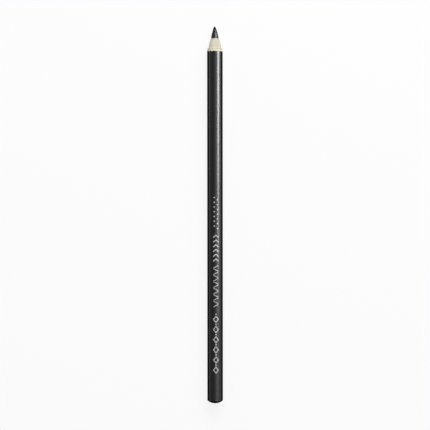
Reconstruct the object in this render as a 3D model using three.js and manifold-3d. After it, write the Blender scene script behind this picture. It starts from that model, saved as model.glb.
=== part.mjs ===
// A wood-cased kohl pencil, sharpened, lying on its side.
//
// Millimetres. +Y runs along the pencil to its point and +Z is up. The origin is under the middle
// of the pencil, on the surface that it lies on. The pieces are turned about the pencil's axis, and
// the casing is split along it, so each outline below is drawn in radius and in height along Y.

import * as THREE from 'three';
import { mergeVertices } from 'three/addons/utils/BufferGeometryUtils.js';
import Module from 'manifold-3d';

// The whole pencil
const OVERALL_LENGTH = 175; // tip of the core to the crown of the rounded end
const BARREL_DIAMETER = 7.25; // over the lacquer, across two flats
const FLATS = 36; // flats that stand for the round, one of them underneath

// Kohl core
const CORE_DIAMETER = 3.4;
const CORE_EXPOSED = 5.42; // length that stands out of the wood
const TIP_RADIUS = 0.5; // rounding of the drawing tip

// Sharpened wood, in order from the core to the barrel
const RIM_LAND = 0.1; // wood left square round the core
const CONE_LENGTH = 4.3; // cone that the blade leaves
const CONE_BELLY = 0.12; // how far the cone swells past straight
const SHOULDER_LENGTH = 0.5; // cove where the blade runs out
const SHOULDER_DEPTH = 0.5; // how far the cove stands in from the round wood
const BARE_WOOD = 0.42; // round wood in front of the primer
const PRIMER_SHOWN = 0.72; // primer in front of the lacquer

// Joint between the two halves of the casing
const GLUE_THICKNESS = 0.1;

// Coats on the wood
const PRIMER_THICKNESS = 0.05;
const LACQUER_THICKNESS = 0.1;
const SCALLOPS = 9; // waves round the trimmed front edge of the coats
const SCALLOP_DEPTH = 0.25;

// Rounded rear end
const DOME_HEIGHT = 1.38;
const ROLL_RADIUS = 0.4; // soft roll from the barrel into the dome
const DIP_THICKNESS = 0.2; // lacquer that seals the end of the wood and of the core

// Fineness of the curved stretches
const ARC_STEPS = 4;

// Radii, from the outside in
const lacquerRadius = BARREL_DIAMETER / 2;
const primerRadius = lacquerRadius - LACQUER_THICKNESS;
const woodRadius = primerRadius - PRIMER_THICKNESS;
const coneRadius = woodRadius - SHOULDER_DEPTH;
const coreRadius = CORE_DIAMETER / 2;
const rimRadius = coreRadius + RIM_LAND;

// Heights along the pencil, from the tip to the crown
const tipY = OVERALL_LENGTH / 2;
const rimY = tipY - CORE_EXPOSED;
const coneY = rimY - CONE_LENGTH;
const shoulderY = coneY - SHOULDER_LENGTH;
const primerEdgeY = shoulderY - BARE_WOOD;
const lacquerEdgeY = primerEdgeY - PRIMER_SHOWN;
const crownY = -OVERALL_LENGTH / 2;
const domeY = crownY + DOME_HEIGHT;

// The rounded end is part of a sphere, which the dip covers and the wood and core follow inside it.
const domeRadius = (lacquerRadius ** 2 + DOME_HEIGHT ** 2) / (2 * DOME_HEIGHT);
const seatRadius = domeRadius - DIP_THICKNESS;
const domeCentreY = crownY + domeRadius;
const seatEdgeRadius = Math.sqrt(seatRadius ** 2 - (domeCentreY - domeY) ** 2);

const crownAngle = -Math.PI / 2;
const seatCoreAngle = crownAngle + Math.asin(coreRadius / seatRadius);
const seatEdgeAngle = crownAngle + Math.asin(seatEdgeRadius / seatRadius);

// The roll touches the sphere and the barrel, and the dip meets the lacquer coat part of the way round.
const rollCentreRadius = lacquerRadius - ROLL_RADIUS;
const rollDrop = Math.sqrt((domeRadius - ROLL_RADIUS) ** 2 - rollCentreRadius ** 2);
const rollCentreY = domeCentreY - rollDrop;
const rollDomeAngle = -Math.atan2(rollDrop, rollCentreRadius);
const rollMeetAngle = -Math.asin((rollCentreY - domeY) / ROLL_RADIUS);

const halfFlat = Math.PI / FLATS;

// Turns an outline about the pencil's axis. The flats touch the true round at their middles, and
// the first one faces straight up, so that another faces straight down.
function turned(outline) {
  const cornerScale = 1 / Math.cos(halfFlat);
  const profile = outline.getPoints(ARC_STEPS);
  profile.forEach((point) => point.setX(point.x * cornerScale));
  return new THREE.LatheGeometry(profile, FLATS, halfFlat);
}

// The core lies in the grooves of the casing. Its rear end follows the rounded end, and its front
// is a cone that runs into the rounded tip without a step.
function coreGeometry() {
  const tipCentreY = tipY - TIP_RADIUS;
  const reach = Math.hypot(coreRadius, tipCentreY - rimY);
  const slope = Math.atan2(coreRadius, tipCentreY - rimY) - Math.asin(TIP_RADIUS / reach);
  const outline = new THREE.Path();
  outline.absarc(0, domeCentreY, seatRadius, crownAngle, seatCoreAngle, false);
  outline.lineTo(coreRadius, rimY);
  outline.absarc(0, tipCentreY, TIP_RADIUS, slope, Math.PI / 2, false);
  return turned(outline);
}

// One side of the casing cut along the axis: bore, rounded rear end, round wood, cove, cone and rim.
// The cove leaves the round wood square and runs into the bellied cone without a corner. The side is
// 1 or -1, for the two sides of the axis.
function casingOutline(side) {
  const cone = new THREE.Vector2(rimRadius - coneRadius, CONE_LENGTH);
  const outward = new THREE.Vector2(cone.y, -cone.x).normalize();
  const belly = new THREE.Vector2(coneRadius, coneY).addScaledVector(cone, 1 / 2);
  belly.addScaledVector(outward, 2 * CONE_BELLY);
  const runOut = SHOULDER_LENGTH * (coneRadius - belly.x) / (belly.y - coneY);
  const outline = new THREE.Shape();
  outline.absarc(0, domeCentreY, seatRadius, seatCoreAngle, seatEdgeAngle, false);
  outline.lineTo(woodRadius, domeY);
  outline.lineTo(woodRadius, shoulderY);
  outline.quadraticCurveTo(coneRadius + runOut, shoulderY, coneRadius, coneY);
  outline.quadraticCurveTo(belly.x, belly.y, rimRadius, rimY);
  outline.lineTo(coreRadius, rimY);
  outline.closePath();
  if (side > 0) return outline;
  const mirrored = outline.getPoints(ARC_STEPS).map((point) => point.setX(-point.x));
  return new THREE.Shape(mirrored);
}

// A film of glue fills the joint between the two halves on one side of the core.
function glueGeometry(side) {
  const film = new THREE.ExtrudeGeometry(casingOutline(side), {
    depth: GLUE_THICKNESS,
    bevelEnabled: false,
    curveSegments: ARC_STEPS,
  });
  return film.translate(0, 0, -GLUE_THICKNESS / 2);
}

const wasm = await Module();
wasm.setup();

// A closed geometry as a solid that can be cut.
function solidOf(geometry) {
  const shell = new THREE.BufferGeometry();
  shell.setAttribute('position', geometry.getAttribute('position'));
  shell.setIndex(geometry.getIndex());
  const welded = mergeVertices(shell);
  return new wasm.Manifold(new wasm.Mesh({
    numProp: 3,
    vertProperties: new Float32Array(welded.getAttribute('position').array),
    triVerts: new Uint32Array(welded.getIndex().array),
  }));
}

function geometryOf(solid) {
  const mesh = solid.getMesh();
  const geometry = new THREE.BufferGeometry();
  geometry.setAttribute('position', new THREE.BufferAttribute(mesh.vertProperties, 3));
  geometry.setIndex(new THREE.BufferAttribute(mesh.triVerts, 1));
  geometry.computeVertexNormals();
  return geometry;
}

// Half of the casing with its half-round groove. The casing is turned whole, and the block keeps
// what lies above or below the glue.
function casingHalfGeometry(side) {
  const block = new THREE.BoxGeometry(BARREL_DIAMETER, OVERALL_LENGTH, BARREL_DIAMETER);
  block.translate(0, 0, side * (GLUE_THICKNESS + BARREL_DIAMETER) / 2);
  return geometryOf(solidOf(turned(casingOutline(1))).intersect(solidOf(block)));
}

function primerOutline() {
  const outline = new THREE.Path();
  outline.moveTo(woodRadius, domeY);
  outline.lineTo(primerRadius, domeY);
  outline.lineTo(primerRadius, primerEdgeY);
  outline.lineTo(woodRadius, primerEdgeY);
  outline.closePath();
  return outline;
}

// The lacquer coat starts the roll at the rear, where the dip goes on.
function lacquerOutline() {
  const outline = new THREE.Path();
  outline.moveTo(primerRadius, domeY);
  outline.absarc(rollCentreRadius, rollCentreY, ROLL_RADIUS, rollMeetAngle, 0, false);
  outline.lineTo(lacquerRadius, lacquerEdgeY);
  outline.lineTo(primerRadius, lacquerEdgeY);
  outline.closePath();
  return outline;
}

// A coat wraps the wood from the rounded end to its front edge. The sharpener trims that edge in
// scallops: the crests stay at the edge, and the hollows stand back from it.
function coatGeometry(outline, edgeY) {
  const coat = turned(outline);
  const corners = coat.getAttribute('position');
  const middleY = (domeY + edgeY) / 2;
  for (let i = 0; i < corners.count; i += 1) {
    const angle = Math.atan2(corners.getX(i), corners.getZ(i)) + halfFlat;
    const standBack = SCALLOP_DEPTH * (1 - Math.cos(SCALLOPS * angle)) / 2;
    if (corners.getY(i) > middleY) corners.setY(i, edgeY - standBack);
  }
  return coat;
}

// The dip is a bowl of lacquer on the rounded end, and closes the ends of the coats.
function endDipGeometry() {
  const outline = new THREE.Path();
  outline.absarc(0, domeCentreY, domeRadius, crownAngle, rollDomeAngle, false);
  outline.absarc(rollCentreRadius, rollCentreY, ROLL_RADIUS, rollDomeAngle, rollMeetAngle, false);
  outline.absarc(0, domeCentreY, seatRadius, seatEdgeAngle, seatCoreAngle, true);
  outline.absarc(0, domeCentreY, seatRadius, seatCoreAngle, crownAngle, true);
  return turned(outline);
}

const kohl = new THREE.MeshStandardMaterial({ color: 0x232227, roughness: 0.5, metalness: 0 });
const paleWood = new THREE.MeshStandardMaterial({ color: 0xdfd6bd, roughness: 0.75, metalness: 0 });
const driedGlue = new THREE.MeshStandardMaterial({ color: 0xc9b58a, roughness: 0.6, metalness: 0 });
const primer = new THREE.MeshStandardMaterial({ color: 0xece7d4, roughness: 0.7, metalness: 0 });
const blackLacquer = new THREE.MeshStandardMaterial({ color: 0x1c1c1e, roughness: 0.25, metalness: 0 });

function piece(name, geometry, finish) {
  const mesh = new THREE.Mesh(geometry, finish.clone());
  mesh.name = name;
  return mesh;
}

const pencil = new THREE.Group();
pencil.position.z = lacquerRadius;
pencil.add(
  piece('kohl_core', coreGeometry(), kohl),
  piece('upper_casing_half', casingHalfGeometry(1), paleWood),
  piece('lower_casing_half', casingHalfGeometry(-1), paleWood),
  piece('left_glue_film', glueGeometry(-1), driedGlue),
  piece('right_glue_film', glueGeometry(1), driedGlue),
  piece('primer_coat', coatGeometry(primerOutline(), primerEdgeY), primer),
  piece('lacquer_coat', coatGeometry(lacquerOutline(), lacquerEdgeY), blackLacquer),
  piece('end_dip', endDipGeometry(), blackLacquer),
);

export default pencil;
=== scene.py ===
import math

import bmesh
import bpy
from mathutils import Matrix, Quaternion, Vector, noise


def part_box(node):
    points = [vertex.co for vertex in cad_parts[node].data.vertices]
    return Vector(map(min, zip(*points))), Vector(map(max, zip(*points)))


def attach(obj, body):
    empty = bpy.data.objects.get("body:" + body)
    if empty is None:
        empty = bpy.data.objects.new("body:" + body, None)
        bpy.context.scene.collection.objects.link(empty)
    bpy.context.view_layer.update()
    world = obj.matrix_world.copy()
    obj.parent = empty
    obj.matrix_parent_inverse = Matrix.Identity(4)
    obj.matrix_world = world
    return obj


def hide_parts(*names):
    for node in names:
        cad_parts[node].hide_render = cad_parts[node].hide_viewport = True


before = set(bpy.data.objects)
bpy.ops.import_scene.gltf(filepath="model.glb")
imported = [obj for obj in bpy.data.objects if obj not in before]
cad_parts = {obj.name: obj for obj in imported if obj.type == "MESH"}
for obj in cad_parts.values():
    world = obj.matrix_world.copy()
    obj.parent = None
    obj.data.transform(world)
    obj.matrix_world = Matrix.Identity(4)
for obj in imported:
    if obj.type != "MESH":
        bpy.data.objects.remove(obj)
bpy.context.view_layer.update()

# Casing
# Two slats of pale, fine-grained wood, each with a half-round groove, glued together round the
# core and shaped round. The rear end is rounded, and a sharpener's blade has pared the front to a
# slightly bellied cone of shallow facets that ends in a small cove.
MM = 0.001
SIDES = 144
MERGE_DISTANCE = 1e-4 * MM
SMOOTH_LIMIT = math.radians(32)
CONE_LENGTH = 4.3 * MM
CONE_BELLY = 0.12 * MM
CONE_STEPS = 60
SHOULDER_LENGTH = 0.5 * MM
SHOULDER_DEPTH = 0.5 * MM
COVE_STEPS = 12
RIM_LAND = 0.1 * MM
DOME_STEPS = 18
RING_GAP = 0.1 * MM
RING_LEAD = 1 * MM
RINGS = 8
BLADE_PITCH = 0.42 * MM
BLADE_DEPTH = 0.012 * MM
FIBRE_DEPTH = 0.03 * MM
FIBRE_WIDTH = 0.22 * MM
FIBRE_LENGTH = 2.2 * MM
FACETS = 9
WOOD_FACET_TURN = math.radians(13)
WOOD_FACET_SHARE = 0.75
WOOD_FACET_FADE = 0.5 * MM
CUT_WAVE = 0.3 * MM
CUT_WAVE_LENGTH = 1.9 * MM
RIM_CHIP = 0.25 * MM
RIM_CHIP_WIDTH = 0.9 * MM
RIM_CHIP_FADE = 4
PALE_WOOD = (0.68, 0.635, 0.522, 1)
DEEP_WOOD = (0.58, 0.522, 0.392, 1)
PORE_WOOD = (0.42, 0.34, 0.22, 1)
KOHL_DUST = (0.12, 0.115, 0.115, 1)
WOOD_ROUGHNESS = (0.62, 0.82)
WOOD_GLOSS = 0.3
COARSE = 2.0
FINE = 3.0
FINEST = 4.0
UPPER_PITH = (-33.2 * MM, -9.65 * MM)
UPPER_SHIFT = (3.1, 0.4, 7.7)
LOWER_PITH = (27 * MM, -30 * MM)
LOWER_SHIFT = (11.3, 2.6, 5.2)
PITH_LEAN = 0.03
YEAR_RING = 3.4 * MM
RING_SWAY = 0.2
LATE_WOOD = (0.35, 0.92)
RING_END = (0.94, 1.0)
RING_SHARE = 0.34
FIBRE_SHARE = 0.7
TONE_CUT = (0.2, 0.95)
GRAIN_SWAY = (3 * MM, 40 * MM)
GRAIN_FIBRE = (0.09 * MM, 2.6 * MM)
FIBRE_BUMP = 0.02 * MM
GRAIN_PORE = (0.055 * MM, 0.8 * MM)
PORE_CUT = (0.66, 0.76)
PORE_SHARE = 0.35
PORE_BUMP = 0.012 * MM
DUST_SPOT = (0.3 * MM, 1.1 * MM)
DUST_CUT = (0.38, 0.7)
DUST_REACH = 0.75 * MM
DUST_SHARE = 0.42
# Place, fade and strength of a darker patch on the upper left of the cone, just behind the rim.
DARK_PATCH_PLACE = (-1.1 * MM, -0.55 * MM, 1.6 * MM)
DARK_PATCH_FADE = (1.2 * MM, 0.3 * MM)
DARK_PATCH_SHARE = 0.28


def half_width(node):
    low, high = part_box(node)
    return (high.x - low.x) / 2


def spaced(start, end, steps):
    return [start + (end - start) * step / steps for step in range(steps + 1)]


def clamped(share):
    return min(1, max(0, share))


def arc(centre, radius, start, end, steps):
    """Points in radius and height along Y, on an arc about a centre."""
    return [
        (centre[0] + radius * math.cos(angle), centre[1] + radius * math.sin(angle))
        for angle in spaced(start, end, steps)
    ]


def bend(start, corner, end, steps):
    """Points on a curve from start to end that makes for the corner and leaves it."""
    return [
        tuple(start * (1 - share) ** 2 + corner * (2 * share * (1 - share)) + end * share ** 2)
        for share in spaced(0, 1, steps)
    ]


def swollen(start, end, rise):
    """Corner for a bend from start to end that swells past straight, by a rise at its middle."""
    line = end - start
    normal = Vector((line.y, -line.x)).normalized()
    return start + line / 2 + normal * 2 * rise


def turned(outline, closed):
    """Spins an outline, in radius and height along Y, about the pencil's axis."""
    bm = bmesh.new()
    verts = [bm.verts.new((radius, y, axis_z)) for radius, y in outline]
    ends = verts[1:] + verts[:1] if closed else verts[1:]
    edges = [bm.edges.new(pair) for pair in zip(verts, ends)]
    bmesh.ops.spin(
        bm, geom=verts + edges, cent=(0, 0, axis_z), axis=(0, 1, 0),
        angle=math.tau, steps=SIDES, use_merge=True,
    )
    bmesh.ops.remove_doubles(bm, verts=bm.verts, dist=MERGE_DISTANCE)
    bmesh.ops.recalc_face_normals(bm, faces=bm.faces)
    return bm


def around(vert):
    """Angle round the axis, from straight up towards +X, and the distance from the axis."""
    return math.atan2(vert.co.x, vert.co.z - axis_z), math.hypot(vert.co.x, vert.co.z - axis_z)


def outward(angle):
    """Direction away from the axis at an angle round it."""
    return Vector((math.sin(angle), 0, math.cos(angle)))


def sliced(bm, place, normal, clear=False):
    """Cuts a mesh along a plane, clears what lies beyond if asked to, and gives the new edges."""
    parted = bmesh.ops.bisect_plane(
        bm, geom=bm.verts[:] + bm.edges[:] + bm.faces[:],
        plane_co=place, plane_no=normal, clear_outer=clear,
    )
    return [part for part in parted["geom_cut"] if isinstance(part, bmesh.types.BMEdge)]


def made(name, bm, finish):
    """Ends a mesh: smooth over its curves, sharp at its corners, with its finish on it."""
    for face in bm.faces:
        face.smooth = True
    for edge in bm.edges:
        edge.smooth = edge.calc_face_angle(0) < SMOOTH_LIMIT
    mesh = bpy.data.meshes.new(name)
    bm.to_mesh(mesh)
    bm.free()
    mesh.materials.append(finish.material)
    piece = bpy.data.objects.new(name, mesh)
    bpy.context.scene.collection.objects.link(piece)
    return piece


class Wire:
    """An output in a finish's nodes. Arithmetic on it adds Math nodes."""

    def __init__(self, finish, socket):
        self.finish = finish
        self.socket = socket

    def reckon(self, operation, first, second):
        return self.finish.node("ShaderNodeMath", {"operation": operation}, {0: first, 1: second})

    def __add__(self, other):
        return self.reckon("ADD", self, other)

    def __sub__(self, other):
        return self.reckon("SUBTRACT", self, other)

    def __rsub__(self, other):
        return self.reckon("SUBTRACT", other, self)

    def __mul__(self, other):
        return self.reckon("MULTIPLY", self, other)

    __radd__ = __add__
    __rmul__ = __mul__


class Finish:
    """A material on a Principled shader, with one method that adds any node."""

    FACING_BLEND = 0.5

    def __init__(self, name):
        self.material = bpy.data.materials.new(name)
        self.material.use_nodes = True
        self.tree = self.material.node_tree
        self.shader = self.tree.nodes["Principled BSDF"]
        self.place = self.node("ShaderNodeTexCoord", {}, {}, "Object")

    def node(self, kind, settings, sockets, output=0):
        added = self.tree.nodes.new(kind)
        for name, value in settings.items():
            setattr(added, name, value)
        self.feed(added, sockets)
        return Wire(self, added.outputs[output])

    def feed(self, node, sockets):
        for name, value in sockets.items():
            if isinstance(value, Wire):
                self.tree.links.new(value.socket, node.inputs[name])
            else:
                node.inputs[name].default_value = value

    def shade(self, sockets):
        self.feed(self.shader, sockets)

    def vector(self, operation, first, second, output=0):
        sockets = {0: first, 1: second}
        return self.node("ShaderNodeVectorMath", {"operation": operation}, sockets, output)

    def height(self):
        return self.node("ShaderNodeSeparateXYZ", {}, {0: self.place}, "Y")

    def grain(self, size, detail, shift=(0, 0, 0)):
        """Noise in streaks along the pencil, whose size is a width and a length."""
        width, length = size
        streaks = self.node(
            "ShaderNodeMapping", {},
            {"Vector": self.place, "Location": shift, "Scale": (1 / width, 1 / length, 1 / width)},
        )
        return self.node(
            "ShaderNodeTexNoise", {}, {"Vector": streaks, "Scale": 1.0, "Detail": detail}
        )

    def ramp(self, value, stops):
        """Smooth step from 0 at the first stop to 1 at the second."""
        return self.node(
            "ShaderNodeMapRange", {"interpolation_type": "SMOOTHSTEP"},
            {"Value": value, "From Min": stops[0], "From Max": stops[1]},
        )

    def blend(self, factor, first, second):
        return self.node(
            "ShaderNodeMix", {"data_type": "RGBA"}, {0: factor, 6: first, 7: second}, 2
        )

    def between(self, factor, ends):
        return ends[0] + factor * (ends[1] - ends[0])

    def bump(self, height, distance, under=None):
        sockets = {"Height": height, "Distance": distance, "Strength": 1.0}
        if under:
            sockets["Normal"] = under
        return self.node("ShaderNodeBump", {}, sockets)

    def give_way(self, share, other):
        """Mixes another shader over the finish, by a share."""
        own = Wire(self, self.shader.outputs[0])
        both = self.node("ShaderNodeMixShader", {}, {0: share, 1: own, 2: other})
        self.feed(self.tree.nodes["Material Output"], {"Surface": both})

    def shade_satin(self, sockets, glancing, worn=0.0):
        """Shades with a gloss that dies away at a glancing angle, and where it is worn."""
        self.shade(sockets)
        matt = self.node("ShaderNodeBsdfPrincipled", {}, {**sockets, "Specular IOR Level": 0.0})
        facing = self.node("ShaderNodeLayerWeight", {}, {"Blend": self.FACING_BLEND}, "Facing")
        gloss = (1 - self.ramp(facing, glancing)) * (1 - worn)
        self.give_way(1 - gloss, matt)


lacquer_low, lacquer_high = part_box("lacquer_coat")
dip_low, dip_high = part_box("end_dip")
core_low, core_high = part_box("kohl_core")
upper_low, upper_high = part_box("upper_casing_half")
lower_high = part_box("lower_casing_half")[1]

axis_z = (lacquer_low.z + lacquer_high.z) / 2
lacquer_radius = half_width("lacquer_coat")
wood_radius = half_width("upper_casing_half")
core_radius = half_width("kohl_core")
cone_radius = wood_radius - SHOULDER_DEPTH
rim_radius = core_radius + RIM_LAND

rim_y = upper_high.y
cone_y = rim_y - CONE_LENGTH
shoulder_y = cone_y - SHOULDER_LENGTH
rings_y = shoulder_y - RING_GAP * RINGS
crown_y = dip_low.y
dome_y = dip_high.y

dome_height = dome_y - crown_y
dome_radius = (lacquer_radius ** 2 + dome_height ** 2) / (2 * dome_height)
dome_centre_y = crown_y + dome_radius
dome_centre = (0, dome_centre_y)
seat_radius = dome_radius - (core_low.y - crown_y)
seat_edge_radius = math.sqrt(seat_radius ** 2 - (dome_centre_y - dome_y) ** 2)
crown_angle = -math.pi / 2
seat_core_angle = crown_angle + math.asin(core_radius / seat_radius)
seat_edge_angle = crown_angle + math.asin(seat_edge_radius / seat_radius)

wood_edge = Vector((wood_radius, shoulder_y))
cone_end = Vector((cone_radius, cone_y))
rim_edge = Vector((rim_radius, rim_y))
belly = swollen(cone_end, rim_edge, CONE_BELLY)
run_out = SHOULDER_LENGTH * (cone_radius - belly.x) / (belly.y - cone_y)
cove = Vector((cone_radius + run_out, shoulder_y))

casing_outline = arc(dome_centre, seat_radius, seat_core_angle, seat_edge_angle, DOME_STEPS)
casing_outline += [(wood_radius, dome_y), (wood_radius, rings_y - RING_LEAD)]
casing_outline += [(wood_radius, y) for y in spaced(rings_y, shoulder_y - RING_GAP, RINGS - 1)]
casing_outline += bend(wood_edge, cove, cone_end, COVE_STEPS)
casing_outline += bend(cone_end, belly, rim_edge, CONE_STEPS)[1:]
casing_outline += [(core_radius, rim_y)]


def facet_rise(angle):
    """How far a pared facet stands out from its round, as a share, from the facet's edge at 0."""
    half = math.pi / FACETS
    from_middle = angle % (2 * half) - half
    even = math.cos(half) * math.log(math.tan(math.pi / 4 + half / 2)) / half
    return math.cos(half) / math.cos(from_middle) / even - 1


def cut(vert):
    """Pares facets, threads and torn fibres into the wood, waves its cove and chips its rim."""
    angle, radius = around(vert)
    thread = math.sin(math.tau * vert.co.y / BLADE_PITCH + angle)
    fibre = noise.noise(Vector((
        vert.co.x / FIBRE_WIDTH, vert.co.y / FIBRE_LENGTH, (vert.co.z - axis_z) / FIBRE_WIDTH,
    )))
    from_rim = clamped((rim_y - vert.co.y) / CONE_LENGTH)
    sway = noise.noise(outward(angle) * (wood_radius / CUT_WAVE_LENGTH))
    chip = abs(noise.noise(outward(angle) * (rim_radius / RIM_CHIP_WIDTH)))
    pared = clamped((vert.co.y - cone_y) / WOOD_FACET_FADE)
    if radius > core_radius + RIM_LAND / 2:
        facet = WOOD_FACET_SHARE * pared * radius * facet_rise(angle - WOOD_FACET_TURN)
        vert.co += outward(angle) * (
            facet + BLADE_DEPTH * (thread - 1) / 2 + FIBRE_DEPTH * (fibre - 1) / 2
        )
    vert.co.y += CUT_WAVE * sway * from_rim - RIM_CHIP * chip * (1 - from_rim) ** RIM_CHIP_FADE


def casing_half(name, plane_z, side, finish):
    """One slat, cut from the whole turned casing at the glue. The side is 1 above, -1 below."""
    bm = turned(casing_outline, True)
    for vert in bm.verts:
        if vert.co.y > rings_y:
            cut(vert)
    bmesh.ops.edgeloop_fill(bm, edges=sliced(bm, (0, 0, plane_z), (0, 0, -side), True))
    bmesh.ops.recalc_face_normals(bm, faces=bm.faces)
    return made(name, bm, finish)


def wood_finish(name, pith, shift):
    """Growth rings about a far-off pith, fine fibres, short pores, kohl dust near the core, and a
    darker patch on the upper left just behind the rim.
    """
    wood = Finish(name)
    sway = wood.grain(GRAIN_SWAY, COARSE, shift)
    from_pith = wood.vector("SUBTRACT", wood.place, (pith[0], 0, axis_z + pith[1]))
    leaning = wood.vector("MULTIPLY", from_pith, (1, PITH_LEAN, 1))
    reach = wood.vector("LENGTH", leaning, (0, 0, 0), "Value")
    years = reach * (1 / YEAR_RING) + sway * RING_SWAY
    year = wood.node("ShaderNodeMath", {"operation": "FRACT"}, {0: years})
    ring = wood.ramp(year, LATE_WOOD) * (1 - wood.ramp(year, RING_END))
    fibres = wood.grain(GRAIN_FIBRE, FINEST, shift)
    pores = wood.ramp(wood.grain(GRAIN_PORE, COARSE, shift), PORE_CUT)
    tone = wood.ramp(ring * RING_SHARE + fibres * FIBRE_SHARE, TONE_CUT)
    timber = wood.blend(tone, PALE_WOOD, DEEP_WOOD)
    timber = wood.blend(pores * PORE_SHARE, timber, PORE_WOOD)
    near_core = wood.ramp(wood.height(), (rim_y - DUST_REACH, rim_y))
    dust = near_core * wood.ramp(wood.grain(DUST_SPOT, FINE), DUST_CUT) * DUST_SHARE
    # A darker patch on the upper left of the cone, just behind the rim, in the kohl dust's colour.
    dark_patch_place = Vector((0, rim_y, axis_z)) + Vector(DARK_PATCH_PLACE)
    from_dark_patch = wood.vector("DISTANCE", wood.place, dark_patch_place, "Value")
    dark_patch = wood.ramp(from_dark_patch, DARK_PATCH_FADE) * DARK_PATCH_SHARE
    wood.shade({
        "Base Color": wood.blend(dust + dark_patch, timber, KOHL_DUST),
        "Roughness": wood.between(fibres, WOOD_ROUGHNESS),
        "Normal": wood.bump(1 - pores, PORE_BUMP, wood.bump(fibres, FIBRE_BUMP)),
        "Specular IOR Level": WOOD_GLOSS,
    })
    return wood


upper_wood = wood_finish("upper_slat_wood", UPPER_PITH, UPPER_SHIFT)
upper_half = casing_half("upper_slat", upper_low.z, 1, upper_wood)
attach(upper_half, "root")
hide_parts("upper_casing_half")

lower_wood = wood_finish("lower_slat_wood", LOWER_PITH, LOWER_SHIFT)
lower_half = casing_half("lower_slat", lower_high.z, -1, lower_wood)
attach(lower_half, "root")
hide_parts("lower_casing_half")

# Kohl core
# A soft rod of wax and black pigment, laid in the grooves of the slats. The sharpener pares its
# front to a cone of shallow facets with a waxy graphite sheen. Use has worn the tip round and matt,
# and it leans a little.
TIP_RADIUS = 0.4 * MM
TIP_LEAN = 0.14 * MM
TIP_LEAN_LENGTH = 2.5 * MM
TIP_STEPS = 10
POINT_BELLY = 0.12 * MM
POINT_STEPS = 40
SIDE_BELLY = 0.12 * MM
SIDE_FADE = 0.5 * MM
FACET_TURN = math.radians(5)
FACET_SHARE = 0.9
FACET_FADE = 0.5 * MM
CRUMB_DEPTH = 0.02 * MM
CRUMB_SIZE = 0.3 * MM
KOHL_BLACK = (0.0055, 0.0052, 0.008, 1)
KOHL_SHEEN = (0.0125, 0.012, 0.0165, 1)
KOHL_ROUGHNESS = (0.32, 0.22)
KOHL_GLOSS = 0.65
KOHL_GLANCING = (0.2, 0.5)
TIP_WORN = (1.6 * MM, 0.9 * MM)
SCRAPE = (0.05 * MM, 1.4 * MM)
SCRAPE_SHARE = 0.6
SCRAPE_BUMP = 0.012 * MM
CRUMBLE = (0.12 * MM, 0.12 * MM)
CRUMBLE_SHARE = 0.4
CRUMBLE_BUMP = 0.008 * MM
SHEEN_CUT = (0.3, 0.65)

tip_y = core_high.y
tip_centre_y = tip_y - TIP_RADIUS
core_reach = math.hypot(core_radius, tip_centre_y - rim_y)
core_slope = math.atan2(core_radius, tip_centre_y - rim_y) - math.asin(TIP_RADIUS / core_reach)
tip_outline = arc((0, tip_centre_y), TIP_RADIUS, core_slope, math.pi / 2, TIP_STEPS)

point_start = Vector((core_radius, rim_y))
point_end = Vector(tip_outline[0])
point_bend = swollen(point_start, point_end, POINT_BELLY)

core_outline = arc(dome_centre, seat_radius, crown_angle, seat_core_angle, DOME_STEPS)
core_outline += bend(point_start, point_bend, point_end, POINT_STEPS)
core_outline += tip_outline[1:]

core_mesh = turned(core_outline, False)
for vert in core_mesh.verts:
    pared = clamped((vert.co.y - rim_y) / FACET_FADE)
    if pared:
        angle, radius = around(vert)
        crumbs = CRUMB_DEPTH * noise.noise(vert.co / CRUMB_SIZE) / 2
        facet = FACET_SHARE * radius * facet_rise(angle - FACET_TURN)
        vert.co += outward(angle) * pared * min(radius, crumbs + facet)
        leaning = max(0, 1 - (tip_y - vert.co.y) / TIP_LEAN_LENGTH)
        fuller = min(1, (vert.co.y - rim_y) / SIDE_FADE, (tip_y - vert.co.y) / SIDE_FADE)
        vert.co.x -= TIP_LEAN * leaning ** 2 + SIDE_BELLY * fuller * max(0, -math.sin(angle))

kohl = Finish("kohl")
scrapes = kohl.grain(SCRAPE, FINE)
crumble = kohl.grain(CRUMBLE, FINEST)
sheen = kohl.ramp(scrapes * SCRAPE_SHARE + crumble * CRUMBLE_SHARE, SHEEN_CUT)
tip_worn = kohl.ramp(kohl.height(), (tip_y - TIP_WORN[0], tip_y - TIP_WORN[1]))
kohl.shade_satin({
    "Base Color": kohl.blend(sheen, KOHL_BLACK, KOHL_SHEEN),
    "Roughness": kohl.between(sheen, KOHL_ROUGHNESS),
    "Normal": kohl.bump(scrapes, SCRAPE_BUMP, kohl.bump(crumble, CRUMBLE_BUMP)),
    "Specular IOR Level": KOHL_GLOSS,
}, KOHL_GLANCING, tip_worn)
core = made("kohl_rod", core_mesh, kohl)
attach(core, "root")
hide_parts("kohl_core")

# Glue films
# The two lines of dried glue that hold the slats together. They show as a fine amber seam on each
# side of the cut cone.
GLUE_AMBER = (0.46, 0.35, 0.18, 1)
GLUE_PALE = (0.7, 0.6, 0.4, 1)
GLUE_ROUGHNESS = (0.4, 0.65)
GLUE_BEAD = (0.2 * MM, 0.9 * MM)
GLUE_BUMP = 0.01 * MM

glue = Finish("dried_glue")
beads = glue.grain(GLUE_BEAD, FINE)
glue.shade({
    "Base Color": glue.blend(beads, GLUE_AMBER, GLUE_PALE),
    "Roughness": glue.between(beads, GLUE_ROUGHNESS),
    "Normal": glue.bump(beads, GLUE_BUMP),
})
for node in ("left_glue_film", "right_glue_film"):
    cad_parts[node].data.materials.clear()
    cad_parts[node].data.materials.append(glue.material)

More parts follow.
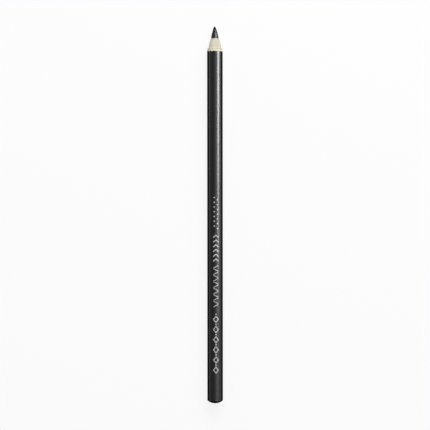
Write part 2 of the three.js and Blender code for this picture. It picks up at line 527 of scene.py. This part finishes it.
# Primer coat
# A thin cream undercoat on the round wood. The sharpener trims it in uneven scallops, ahead of the
# black, so a pale band shows between the wood and the lacquer.
SCALLOPS = 13
SCALLOP_DEPTH = 0.25 * MM
SCALLOP_WANDER = math.radians(14)
SCALLOP_UNEVEN = 1.2
UNEVEN_REACH = 3.2 * MM
NICK_DEPTH = 0.12 * MM
NICK_WIDTH = 0.5 * MM
TRIM_START = 0.65 * MM
TRIM_LENGTH = 0.4 * MM
TRIM_LEAD = 4 * MM
LIP_STEPS = 8
PRIMER_TURN = math.radians(4)
PRIMER_CREAM = (0.905, 0.868, 0.69, 1)
PRIMER_SHADE = (0.815, 0.768, 0.59, 1)
PRIMER_ROUGHNESS = (0.6, 0.8)
CHALK = (0.15 * MM, 0.3 * MM)
CHALK_BUMP = 0.008 * MM


def coat_outline(inner, outer, edge_y, rear):
    """A tube with a round lip, closely ringed near its front edge, and with its rear end given."""
    lip = (outer - inner) / 2
    trim_y = edge_y - TRIM_START
    rings = [trim_y - TRIM_LEAD] + spaced(trim_y - RING_LEAD, edge_y - 2 * lip, RINGS)
    return (
        [(inner, y) for y in reversed([dome_y] + rings)]
        + rear
        + [(outer, y) for y in rings]
        + arc((inner + lip, edge_y - lip), lip, 0, math.pi, LIP_STEPS)
    )


def trim_front(bm, edge_y, turn, tilt=0.0):
    """Draws the front edge back between uneven scallops, with small nicks and a slight tilt."""
    for vert in bm.verts:
        share = clamped((vert.co.y - edge_y + TRIM_START) / TRIM_LENGTH)
        angle = around(vert)[0]
        place = outward(angle) * wood_radius + Vector((0, edge_y, 0))
        uneven = noise.noise(place / UNEVEN_REACH)
        depth = SCALLOP_DEPTH * (1 + SCALLOP_UNEVEN * uneven)
        wave = depth * (1 - math.cos(SCALLOPS * (angle + turn + SCALLOP_WANDER * uneven))) / 2
        nick = NICK_DEPTH * max(0, noise.noise(outward(angle + turn) * (wood_radius / NICK_WIDTH)))
        vert.co.y -= share * (wave + nick + tilt * math.sin(angle))


primer_edge_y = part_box("primer_coat")[1].y
primer_radius = half_width("primer_coat")
primer_outline = coat_outline(wood_radius, primer_radius, primer_edge_y, [(primer_radius, dome_y)])
primer_mesh = turned(primer_outline, True)
trim_front(primer_mesh, primer_edge_y, PRIMER_TURN)

primer = Finish("cream_primer")
chalk = primer.grain(CHALK, FINEST)
primer.shade({
    "Base Color": primer.blend(chalk, PRIMER_CREAM, PRIMER_SHADE),
    "Roughness": primer.between(chalk, PRIMER_ROUGHNESS),
    "Normal": primer.bump(chalk, CHALK_BUMP),
})
undercoat = made("undercoat", primer_mesh, primer)
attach(undercoat, "root")
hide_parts("primer_coat")

# Lacquer coat
# Several passes of black lacquer, drawn along the barrel. The finish is a soft gloss with faint
# orange peel and drawing lines, and the cut front edge is thin enough to look a little brown.
FOIL_ROOM = 0.012 * MM
LACQUER_TURN = math.radians(5.5)
LACQUER_TILT = 0.12 * MM
ROLL_RADIUS = 0.4 * MM
ROLL_STEPS = 6
LACQUER_BLACK = (0.0098, 0.0095, 0.0106, 1)
LACQUER_THIN = (0.028, 0.021, 0.014, 1)
LACQUER_ROUGHNESS = (0.28, 0.32)
LACQUER_IOR = 1.6
LACQUER_GLANCING = (0.2, 0.45)
EDGE_WEAR = 0.3 * MM
EDGE_WANDER = 0.4 * MM
PEEL = (0.9 * MM, 1.4 * MM)
PEEL_MIDDLE = 0.5
PEEL_SHARE = 0.5
PEEL_BUMP = 0.0008 * MM
DRAWN_LINE = (0.12 * MM, 30 * MM)
LINE_SHARE = 0.5
LINE_BUMP = 0.0003 * MM

lacquer_edge_y = lacquer_high.y
paint_radius = lacquer_radius - FOIL_ROOM
roll_centre_radius = paint_radius - ROLL_RADIUS
roll_reach = math.sqrt((dome_radius - ROLL_RADIUS) ** 2 - roll_centre_radius ** 2)
roll_centre_y = dome_centre_y - roll_reach
roll_split_angle = -math.asin((roll_centre_y - dome_y) / ROLL_RADIUS)
roll_end_angle = -math.atan2(roll_reach, roll_centre_radius)


def roll(start, end):
    """Points on the roll that runs from the barrel, at angle 0, into the dome."""
    return arc((roll_centre_radius, roll_centre_y), ROLL_RADIUS, start, end, ROLL_STEPS)


lacquer_rear = roll(roll_split_angle, 0)
lacquer_outline = coat_outline(primer_radius, paint_radius, lacquer_edge_y, lacquer_rear)
lacquer_mesh = turned(lacquer_outline, True)
trim_front(lacquer_mesh, lacquer_edge_y, LACQUER_TURN, LACQUER_TILT)

lacquer = Finish("black_lacquer")
peel = lacquer.grain(PEEL, COARSE)
lines = lacquer.grain(DRAWN_LINE, FINE)
near_edge = lacquer.height() + (peel - PEEL_MIDDLE) * EDGE_WANDER
thin = lacquer.ramp(near_edge, (lacquer_edge_y - EDGE_WEAR, lacquer_edge_y))
lacquer.shade_satin({
    "Base Color": lacquer.blend(thin, LACQUER_BLACK, LACQUER_THIN),
    "Roughness": lacquer.between(peel * PEEL_SHARE + lines * LINE_SHARE, LACQUER_ROUGHNESS),
    "Normal": lacquer.bump(lines, LINE_BUMP, lacquer.bump(peel, PEEL_BUMP)),
    "IOR": LACQUER_IOR,
}, LACQUER_GLANCING)
barrel = made("barrel_lacquer", lacquer_mesh, lacquer)
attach(barrel, "root")
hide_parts("lacquer_coat")

# End dip
# The rounded rear end is dipped in the same lacquer, which seals the wood and the end of the core.
# The bowl of lacquer meets the barrel's coat in a soft roll.
dip_outline = arc(dome_centre, dome_radius, crown_angle, roll_end_angle, DOME_STEPS)
dip_outline += roll(roll_end_angle, roll_split_angle)[1:]
dip_outline += arc(dome_centre, seat_radius, seat_edge_angle, crown_angle, DOME_STEPS)
dip = made("dipped_end", turned(dip_outline, False), lacquer)
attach(dip, "root")
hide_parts("end_dip")

# Foil ornament
# Pale silver foil, stamped on the lacquer with a heated die: open lozenges with dots between them,
# a zigzag, a file of chevrons and a double row of dots. It stands a hair above the paint.
FOIL_TURN = math.radians(6.3)
FOIL_SINK = 0.004 * MM
FOIL_RISE = 0.01 * MM
FOIL_WIDTH = 3.0 * MM
FOIL_SLICES = 14
LOZENGES = 6
LOZENGE_SIDES = 4
LOZENGE_SIZE = (2.7 * MM, 3.4 * MM)
LOZENGE_START = -71.9 * MM
LOZENGE_PITCH = 4.7 * MM
LOZENGE_LINE = 0.34 * MM
DOT_SIDES = 20
DOT_SIZE = (0.6 * MM, 0.6 * MM)
ZIGZAG_STROKES = 13
ZIGZAG_SIZE = (2.3 * MM, 0.3 * MM)
ZIGZAG_START = -42.0 * MM
ZIGZAG_PITCH = 1.5 * MM
ZIGZAG_SLANT = 0.5
CHEVRONS = 6
CHEVRON_SIZE = (2.6 * MM, 0.5 * MM)
CHEVRON_START = -20.4 * MM
CHEVRON_PITCH = 2.2 * MM
CHEVRON_SLANT = 0.8
ROW_DOTS = 14
ROW_START = -6.2 * MM
ROW_PITCH = 1.1 * MM
ROW_OFFSET = 0.75 * MM
FOIL_SILVER = (0.72, 0.72, 0.735, 1)
FOIL_DULL = (0.56, 0.56, 0.575, 1)
FOIL_METALLIC = 0.12
FOIL_ROUGHNESS = (0.42, 0.58)
FOIL_WORN_SPOT = (0.16 * MM, 0.16 * MM)
FOIL_WORN = (0.62, 0.72)
FOIL_CREASE = (0.3 * MM, 0.3 * MM)
FOIL_BUMP = 0.003 * MM


def foil_place(size, x, y):
    """Sizes and places flat foil, which is drawn with X across the barrel and Y along it."""
    sized = Matrix.Diagonal((size[0] / 2, size[1] / 2, 1, 1))
    return Matrix.Translation((x, y, 0)) @ sized


def disc(bm, x, y, sides, size):
    rim = bmesh.ops.create_circle(
        bm, cap_ends=True, segments=sides, radius=1, matrix=foil_place(size, x, y)
    )
    return rim["verts"][0].link_faces[0]


def outline_of(bm, face, line):
    """Leaves only a line of foil round the edge of a face."""
    bmesh.ops.inset_region(
        bm, faces=[face], thickness=line, use_boundary=True, use_even_offset=True
    )
    bmesh.ops.delete(bm, geom=[face], context="FACES")


def bar(bm, y, size, slant):
    """A stroke across the barrel, whose two halves run back by the slant on each side."""
    stroke = bmesh.ops.create_grid(
        bm, x_segments=2, y_segments=1, size=1, matrix=foil_place(size, 0, y)
    )
    for vert in stroke["verts"]:
        vert.co.y += slant[0] * min(0, vert.co.x) - slant[1] * max(0, vert.co.x)


def lift(bm, extruded, rise):
    """Raises the new vertices that an extrusion has left in place."""
    verts = [part for part in extruded["geom"] if isinstance(part, bmesh.types.BMVert)]
    bmesh.ops.translate(bm, vec=(0, 0, rise), verts=verts)


foil_mesh = bmesh.new()
for index in range(LOZENGES):
    y = LOZENGE_START + index * LOZENGE_PITCH
    outline_of(foil_mesh, disc(foil_mesh, 0, y, LOZENGE_SIDES, LOZENGE_SIZE), LOZENGE_LINE)
    disc(foil_mesh, 0, y + LOZENGE_PITCH / 2, DOT_SIDES, DOT_SIZE)
for index in range(ZIGZAG_STROKES):
    slant = ZIGZAG_SLANT * (-1) ** index
    bar(foil_mesh, ZIGZAG_START + index * ZIGZAG_PITCH, ZIGZAG_SIZE, (slant, -slant))
for index in range(CHEVRONS):
    y = CHEVRON_START + index * CHEVRON_PITCH
    bar(foil_mesh, y, CHEVRON_SIZE, (CHEVRON_SLANT, CHEVRON_SLANT))
for index in range(ROW_DOTS):
    x = ROW_OFFSET * (-1) ** index
    disc(foil_mesh, x, ROW_START + index * ROW_PITCH, DOT_SIDES, DOT_SIZE)
for across in spaced(-FOIL_WIDTH / 2, FOIL_WIDTH / 2, FOIL_SLICES):
    sliced(foil_mesh, (across, 0, 0), (1, 0, 0))
bmesh.ops.recalc_face_normals(foil_mesh, faces=foil_mesh.faces)
top = bmesh.ops.extrude_face_region(foil_mesh, geom=foil_mesh.faces[:], use_keep_orig=True)
lift(foil_mesh, top, FOIL_SINK + FOIL_RISE)
for vert in foil_mesh.verts:
    radius = paint_radius - FOIL_SINK + vert.co.z
    turn = FOIL_TURN + vert.co.x / paint_radius
    vert.co = Vector((0, vert.co.y, axis_z)) + outward(turn) * radius
bmesh.ops.recalc_face_normals(foil_mesh, faces=foil_mesh.faces)

foil = Finish("silver_foil")
crease = foil.grain(FOIL_CREASE, FINE)
rubbed = foil.ramp(foil.grain(FOIL_WORN_SPOT, COARSE), FOIL_WORN)
foil.shade({
    "Base Color": foil.blend(rubbed, foil.blend(crease, FOIL_SILVER, FOIL_DULL), LACQUER_BLACK),
    "Metallic": (1 - rubbed) * FOIL_METALLIC,
    "Roughness": foil.between(crease, FOIL_ROUGHNESS),
    "Normal": foil.bump(crease, FOIL_BUMP),
})
ornament = made("foil_ornament", foil_mesh, foil)
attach(ornament, "root")

# Floor
# A plain white paper sheet under the pencil, which keeps a soft shadow and turns up far away all
# round. It glows to the camera and in reflections, so it stays white without more light.
FLOOR_RADIUS = 6.0
FLOOR_SIDES = 96
FLOOR_TURN_UP = 0.7
FLOOR_WHITE = (0.94, 0.94, 0.94, 1)
FLOOR_GLOW = 0.86
FLOOR_RAYS = ("Is Camera Ray", "Is Glossy Ray", "Is Transmission Ray")
WHITE = (1, 1, 1, 1)

floor_mesh = bmesh.new()
bmesh.ops.create_circle(floor_mesh, cap_ends=True, segments=FLOOR_SIDES, radius=FLOOR_RADIUS)
wall = bmesh.ops.extrude_edge_only(floor_mesh, edges=floor_mesh.edges[:])
lift(floor_mesh, wall, FLOOR_TURN_UP)
sheet = Finish("white_sheet")
sheet.shade({"Base Color": FLOOR_WHITE, "Roughness": 1.0, "Specular IOR Level": 0.0})
seen = sum(sheet.node("ShaderNodeLightPath", {}, {}, ray) for ray in FLOOR_RAYS)
glow = sheet.node("ShaderNodeEmission", {}, {"Color": WHITE, "Strength": 1.0})
sheet.give_way(seen * FLOOR_GLOW, glow)
floor = made("floor", floor_mesh, sheet)

# Studio light
# Broad fills light the pencil from above and in front. The others lay only their sheen on the
# gloss: a strip beside the front of the barrel, a low card on each side, and a panel past the
# rounded end. Each lamp faces a place along Y on the pencil's axis.
FILLS = {
    "point_panel": {
        "place": (0.43, 0.36, 0.36), "facing_y": 0.085,
        "length": 0.16, "width": 0.16, "radiance": 8.0,
    },
    "overhead": {
        "place": (0.30, 0.2, 0.745), "facing_y": 0.1,
        "length": 1.0, "width": 0.6, "radiance": 0.9,
    },
    "left_fill": {
        "place": (-0.68, 0.894, 0.286), "facing_y": 0.08,
        "length": 0.5, "width": 0.5, "radiance": 1.6,
    },
    "front_fill": {
        "place": (0.10, 0.95, 0.75), "facing_y": 0.08,
        "length": 0.6, "width": 0.6, "radiance": 9.0,
    },
}
SHEENS = {
    "strip": {
        "place": (0.435, 0.115, 0.34), "facing_y": 0.115,
        "length": 0.17, "width": 0.24, "radiance": 21.6, "turn": math.radians(42),
    },
    "left_card": {
        "place": (-0.6, 0.18, 0.1), "facing_y": 0.18,
        "length": 0.26, "width": 0.16, "radiance": 0.65,
    },
    "right_card": {
        "place": (0.6, 0.16, 0.1), "facing_y": 0.16,
        "length": 0.3, "width": 0.16, "radiance": 1.9,
    },
    "rear_panel": {
        "place": (0.45, -1.0, 0.5), "facing_y": -0.08,
        "length": 0.7, "width": 0.7, "radiance": 6.2,
    },
}
AMBIENT = 0.17


def lit(name, place, facing_y, length, width, radiance, turn=0.0):
    """A panel of light, turned in its own plane, whose power follows from its size and radiance."""
    lamp = bpy.data.lights.new(name, "AREA")
    lamp.shape = "RECTANGLE"
    lamp.size = length
    lamp.size_y = width
    lamp.energy = radiance * math.pi * width * length
    stand = bpy.data.objects.new(name, lamp)
    stand.location = place
    aim = Vector((0, facing_y, axis_z)) - Vector(place)
    facing = aim.to_track_quat("-Z", "Y") @ Quaternion((0, 0, 1), turn)
    stand.rotation_euler = facing.to_euler()
    bpy.context.scene.collection.objects.link(stand)
    return stand


for name, setting in FILLS.items():
    lit(name, **setting)
for name, setting in SHEENS.items():
    lit(name, **setting).visible_diffuse = False

world = bpy.data.worlds.new("studio")
world.use_nodes = True
world.node_tree.nodes["Background"].inputs["Color"].default_value = WHITE
world.node_tree.nodes["Background"].inputs["Strength"].default_value = AMBIENT
bpy.context.scene.world = world

# Camera
# A long lens straight above the pencil, with the point upwards in the picture. It stands a hair off
# the middle and is turned a hair, which sets the pencil in the picture.
LENS = 200
SENSOR = 36
IMAGE_PIXELS = 430
PIXEL = 0.4647 * MM
CENTRE_PIXEL = (215.02, 214.95)
CAMERA_TURN = -0.0008

view = bpy.data.cameras.new("camera")
view.lens = LENS
view.sensor_width = SENSOR
camera = bpy.data.objects.new("camera", view)
middle = IMAGE_PIXELS / 2
camera.location = (
    (middle - CENTRE_PIXEL[0]) * PIXEL,
    (CENTRE_PIXEL[1] - middle) * PIXEL,
    axis_z + IMAGE_PIXELS * PIXEL * LENS / SENSOR,
)
camera.rotation_euler = (0, 0, CAMERA_TURN)
bpy.context.scene.collection.objects.link(camera)
bpy.context.scene.camera = camera
bpy.context.scene.view_settings.view_transform = "Standard"
